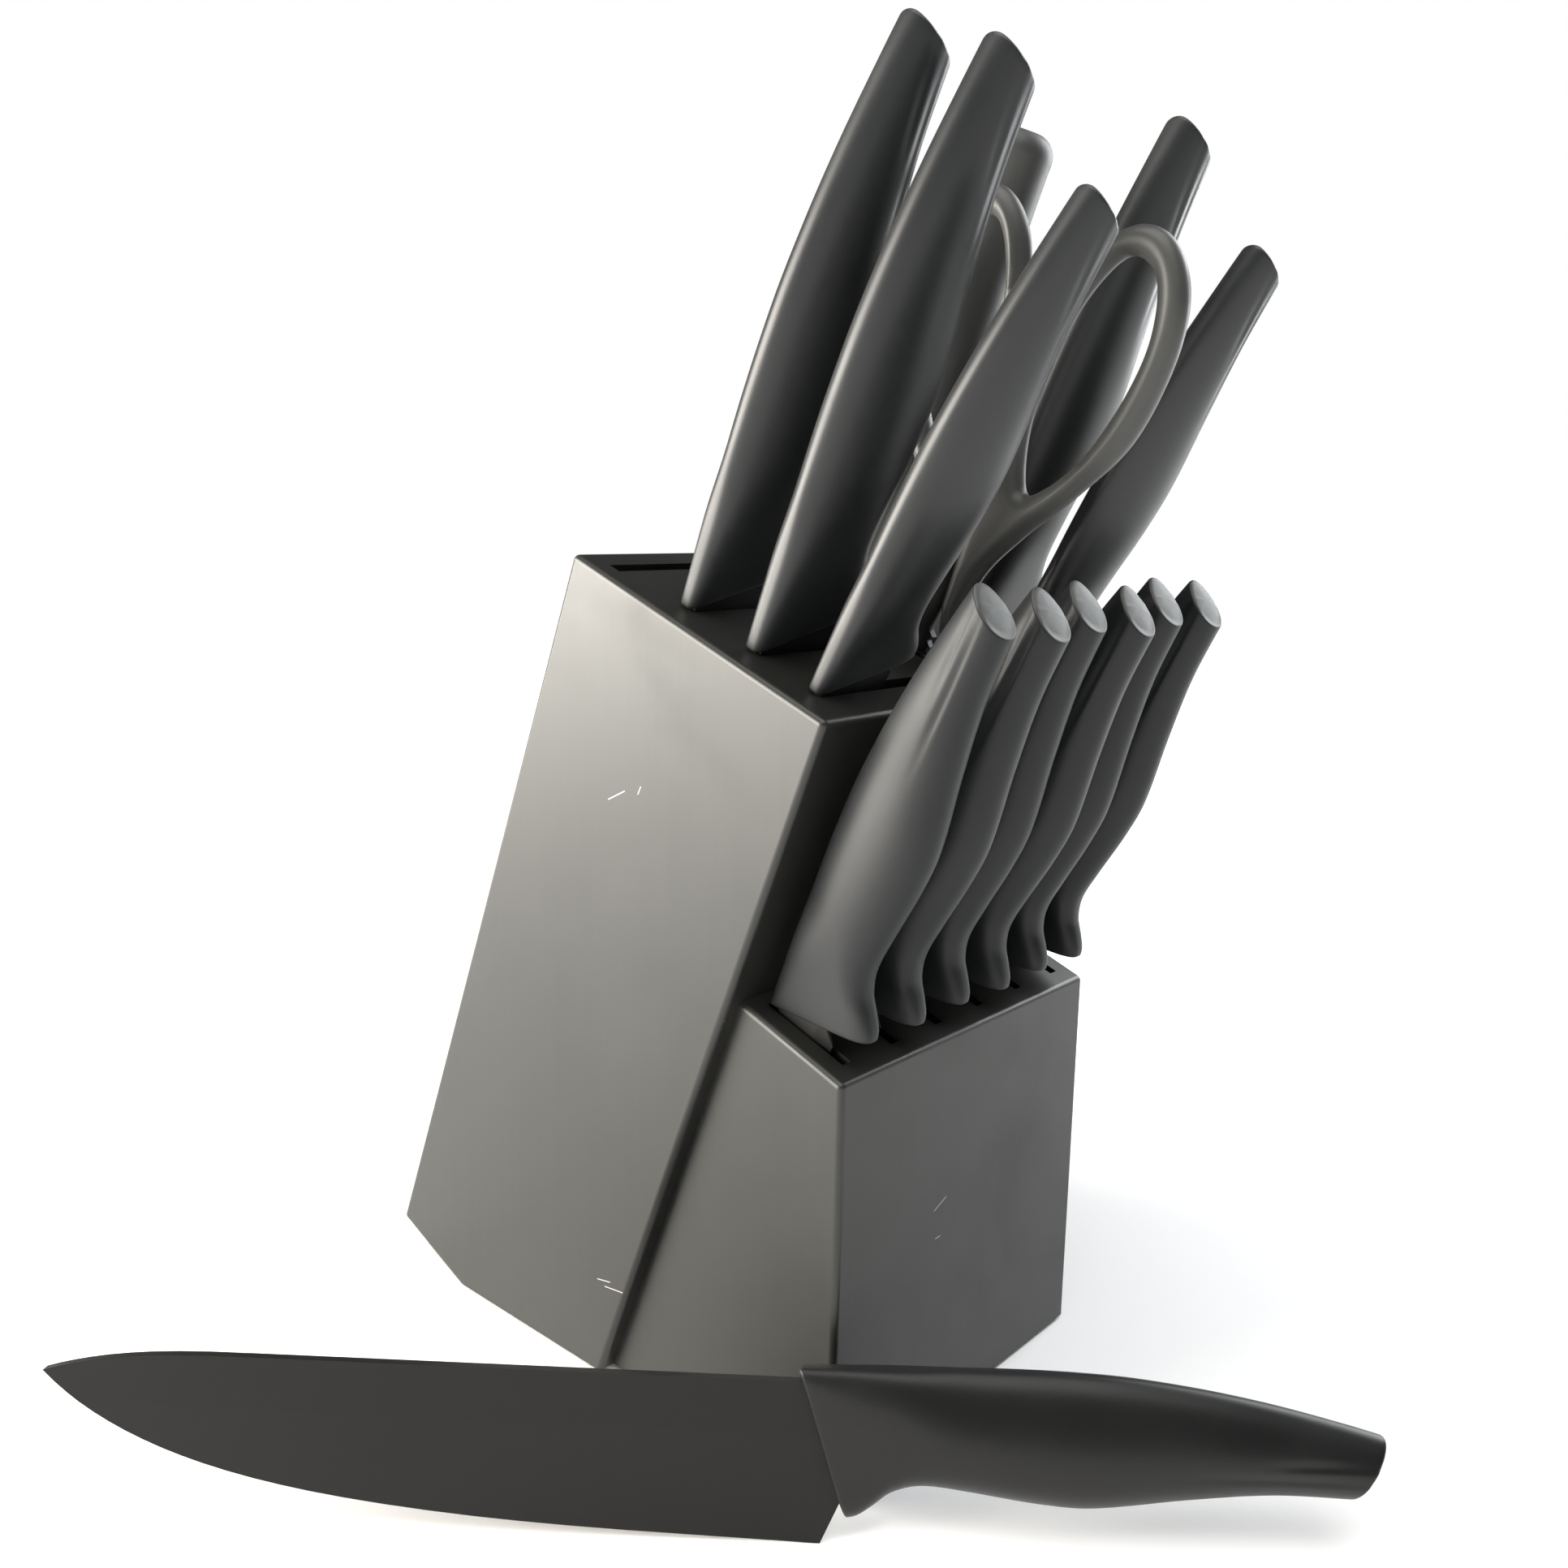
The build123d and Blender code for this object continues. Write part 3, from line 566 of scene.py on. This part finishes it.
def depth_in(points, outlines):
    """Distance from each point to the nearest outline."""
    nearest = np.full(len(points), 1e9)
    for outline in outlines:
        start, end = outline, np.roll(outline, -1, axis=0)
        step = end - start
        offset = points[:, None] - start[None]
        share = np.clip((offset * step).sum(-1) / np.maximum((step * step).sum(-1), 1e-9), 0, 1)
        away = offset - share[..., None] * step
        nearest = np.minimum(nearest, np.hypot(away[..., 0], away[..., 1]).min(1))
    return nearest


def pillow(outer, hole, rim, half):
    """Closed mesh over a flat outline with a hole, its rim rounded over: points and triangles in mm."""
    rows = [outer, hole]
    for angle in (0.2, 0.45, 0.7, 0.95, 1.25, math.pi / 2):
        depth = rim * (1 - math.cos(angle))
        for outline in (outer, hole):
            tangent = np.roll(outline, -1, axis=0) - np.roll(outline, 1, axis=0)
            normal = np.column_stack([-tangent[:, 1], tangent[:, 0]])
            normal /= np.maximum(np.hypot(*normal.T), 1e-9)[:, None]
            for sign in (-1, 1):
                moved = outline + sign * depth * normal
                fits = in_outline(moved, outer) & ~in_outline(moved, hole)
                moved = moved[fits]
                rows.append(moved[depth_in(moved, (outer, hole)) > depth * 0.96])
    flat = np.vstack(rows)
    edges = []
    start = 0
    for outline in (outer, hole):
        edges += [(start + i, start + (i + 1) % len(outline)) for i in range(len(outline))]
        start += len(outline)
    made = delaunay_2d_cdt([Vector(p) for p in flat], edges, [], 0, 1e-4)
    points = np.array([tuple(p) for p in made[0]])
    triangles = np.array([tuple(f) for f in made[2] if len(f) == 3])
    middles = points[triangles].mean(1)
    triangles = triangles[in_outline(middles, outer) & ~in_outline(middles, hole)]
    depth = depth_in(points, (outer, hole))
    share = np.clip(1 - depth / rim, 0, 1)
    return points, triangles, half * np.sqrt(1 - share**2), depth < 1e-3


def make_loop(front, material):
    half_name = "scissors_front" if front else "scissors_back"
    arm = through_points(ARM_OUTLINE, False)
    gap = [np.array(NUT_GAP[i]) + (np.array(NUT_GAP[i + 1]) - NUT_GAP[i]) * t
           for i in range(len(NUT_GAP) - 1) for t in np.linspace(0, 1, 12, endpoint=False)]
    outer = even_points(np.vstack([arm, gap]), True)
    hole = through_points(LOOP_OPENING, True)
    points, triangles, lift, rim = pillow(outer, hole, LOOP_ROUND, LOOP_THICKNESS / 2)
    up = Vector(JOINTS["scissors_pull"]["axis"])
    across = Vector((1, 0, 0))
    forward = across.cross(up) * (1 if front else -1)
    base = Vector(JOINTS["scissors_open"]["pos_m"]) + up * PIVOT_DROP * MM
    bm = bmesh.new()
    sides = []
    for sign in (1, -1):
        row = []
        for k, (f, u) in enumerate(points):
            if sign < 0 and rim[k]:
                row.append(sides[0][k])
                continue
            row.append(bm.verts.new(base + (forward * f + up * u + across * (sign * lift[k])) * MM))
        sides.append(row)
    for row in sides:
        for a, b, c in triangles:
            bm.faces.new((row[a], row[b], row[c]))
    piece = add_piece(f"{half_name}_loop", bm, half_name, (material,))
    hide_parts(f"{half_name}_handle")


# ------------------------------------------------------------------ stage
CAMERA_PLACE = (-0.2905, -0.2630, 0.2362)
CAMERA_YAW = 49.187      # degrees, clockwise from +Y
CAMERA_PITCH = 9.235     # downwards
CAMERA_ROLL = 1.435
CAMERA_LENS = 32.353     # mm, on a 36 mm sensor
CAMERA_SHIFT = (-0.0142, -0.0328)
# name: place, target, size in metres, power in watts, colour
LIGHTS = {
    "key_left": ((-1.0, 0.85, 0.46), (0, 0, 0.16), (1.3, 0.8), 66, (1.0, 0.955, 0.875)),
    "rim_right": ((1.1, -0.25, 0.65), (0, 0, 0.2), (0.6, 1.0), 15, (0.95, 0.98, 1.0)),
    "overhead": ((-0.3, -0.35, 1.7), (0, 0, 0), (1.6, 1.4), 24, (1, 0.99, 0.97)),
}
DIM_SIDE = (0.75, 0.45, 0.35)    # where the world gives least light
WORLD_BRIGHT = 0.13
WORLD_DIM = 0.06
FLOOR_RADIUS = 9.0
GLOW_START, GLOW_END = 0.35, 1.7     # metres from the origin, where the floor brightens
GLOW_LOW, GLOW_HIGH = 0.02, 0.95


def make_camera():
    """The photograph's viewing angle: from the front left, a little above."""
    yaw, pitch, roll = (math.radians(angle) for angle in (CAMERA_YAW, CAMERA_PITCH, CAMERA_ROLL))
    ahead = Vector((math.sin(yaw) * math.cos(pitch), math.cos(yaw) * math.cos(pitch), -math.sin(pitch)))
    right = Vector((math.cos(yaw), -math.sin(yaw), 0))
    up = right.cross(ahead)
    turned_right = right * math.cos(roll) + up * math.sin(roll)
    turned_up = up * math.cos(roll) - right * math.sin(roll)
    camera = bpy.data.objects.new("camera", bpy.data.cameras.new("camera"))
    bpy.context.scene.collection.objects.link(camera)
    place = Matrix((turned_right, turned_up, -ahead)).transposed().to_4x4()
    place.translation = Vector(CAMERA_PLACE)
    camera.matrix_world = place
    camera.data.sensor_width = 36.0
    camera.data.lens = CAMERA_LENS
    camera.data.shift_x, camera.data.shift_y = CAMERA_SHIFT
    camera.data.clip_start = 0.01
    bpy.context.scene.camera = camera


def make_lights():
    for name, (place, target, size, power, colour) in LIGHTS.items():
        light = bpy.data.lights.new(name, "AREA")
        light.shape = "RECTANGLE"
        light.size, light.size_y = size
        light.energy = power
        light.color = colour
        lamp = bpy.data.objects.new(name, light)
        lamp.location = place
        lamp.rotation_euler = (Vector(target) - Vector(place)).to_track_quat("-Z", "Y").to_euler()
        bpy.context.scene.collection.objects.link(lamp)


def make_world():
    """Plain white to the eye, dimmer in the light it gives, least behind the object on the right."""
    world = bpy.data.worlds.new("studio")
    bpy.context.scene.world = world
    world.use_nodes = True
    tree = world.node_tree
    back = tree.nodes["Background"]
    coords = tree.nodes.new("ShaderNodeTexCoord")
    turn = tree.nodes.new("ShaderNodeVectorMath")
    turn.operation = "DOT_PRODUCT"
    turn.inputs[1].default_value = Vector(DIM_SIDE).normalized()
    tree.links.new(coords.outputs["Generated"], turn.inputs[0])
    spread = tree.nodes.new("ShaderNodeMapRange")
    spread.inputs["From Min"].default_value = -1.0
    spread.inputs["From Max"].default_value = 1.0
    spread.inputs["To Min"].default_value = WORLD_BRIGHT
    spread.inputs["To Max"].default_value = WORLD_DIM
    tree.links.new(turn.outputs["Value"], spread.inputs["Value"])
    path = tree.nodes.new("ShaderNodeLightPath")
    choose = tree.nodes.new("ShaderNodeMix")
    tree.links.new(path.outputs["Is Camera Ray"], choose.inputs[0])
    tree.links.new(spread.outputs["Result"], choose.inputs[2])
    choose.inputs[3].default_value = 1.0
    tree.links.new(choose.outputs[0], back.inputs["Strength"])
    back.inputs["Color"].default_value = (1, 1, 1, 1)


def make_floor():
    bm = bmesh.new()
    bmesh.ops.create_circle(bm, cap_ends=True, segments=96, radius=FLOOR_RADIUS)
    mesh = bpy.data.meshes.new("floor")
    bm.to_mesh(mesh)
    bm.free()
    floor = bpy.data.objects.new("floor", mesh)
    bpy.context.scene.collection.objects.link(floor)
    m = Shader("pale_floor", (0.92, 0.92, 0.93), 0.7, 0.2)
    m.set("Base Color", m.mix(m.noise(3, 2.0), (0.915, 0.915, 0.925), (0.93, 0.93, 0.935)))
    m.bsdf.inputs["Emission Color"].default_value = (1, 1, 1, 1)
    away = m.vector("LENGTH", m.coords)
    m.set("Emission Strength", m.spread(away, GLOW_START, GLOW_END, GLOW_LOW, GLOW_HIGH))
    mesh.materials.append(m.material)


def paint(names, material):
    for name in names:
        mesh = NODES[name].data
        mesh.materials.clear()
        mesh.materials.append(material)


# ------------------------------------------------------------------ the object
bpy.context.scene.view_settings.view_transform = "Standard"
make_camera()
make_lights()
make_world()
make_floor()

PLASTIC = moulded("handle_plastic", (0.016, 0.0172, 0.0185), 0.41)
# a darker copy of the handle plastic for the chef's handle: painted shade
CHEF_PLASTIC_SHADED_COPY = moulded("chef_handle_plastic_shaded_copy", (0.009, 0.0093, 0.0095), 0.38, 0.30)
# the same handle plastic with weaker, duller sheen to darken the steak handles: a shaded copy, painted
# shade
STEAK_PLASTIC_SHADED_COPY = moulded("steak_handle_plastic_shaded_copy", (0.016, 0.0172, 0.0185), 0.44, 0.28)
LOOP_PLASTIC = moulded("scissors_plastic", (0.058, 0.059, 0.056), 0.44)
BLADE = coated("blade_coating", (0.009, 0.009, 0.0087), 0.48, (24, 24, 1600), 0.26)
SHEAR = coated("shear_coating", (0.030, 0.030, 0.029), 0.4, (900, 40, 900))
BUTT = cut_butt()
BLOCK = lacquer()
STEEL = bright_steel()

block_nodes = [n for n in NODES if "board" in n or "spacers" in n]
paint(block_nodes, BLOCK)
paint(["dowels"], bare_wood())
paint(["non_slip_mat"], rubber())
paint([n for n in NODES if n.endswith("_blade") and "scissors" not in n], BLADE)
paint(["scissors_front_blade", "scissors_back_blade", "scissors_pivot_screw", "scissors_pivot_nut"], SHEAR)
paint(["honing_steel_handle"], moulded("steel_handle_plastic", (0.060, 0.061, 0.059), 0.48))
paint(["honing_steel_rod"], STEEL)
make_handles({"chef": CHEF_PLASTIC_SHADED_COPY, "steak": STEAK_PLASTIC_SHADED_COPY, "other": PLASTIC}, BUTT)
make_loop(True, LOOP_PLASTIC)
make_loop(False, LOOP_PLASTIC)
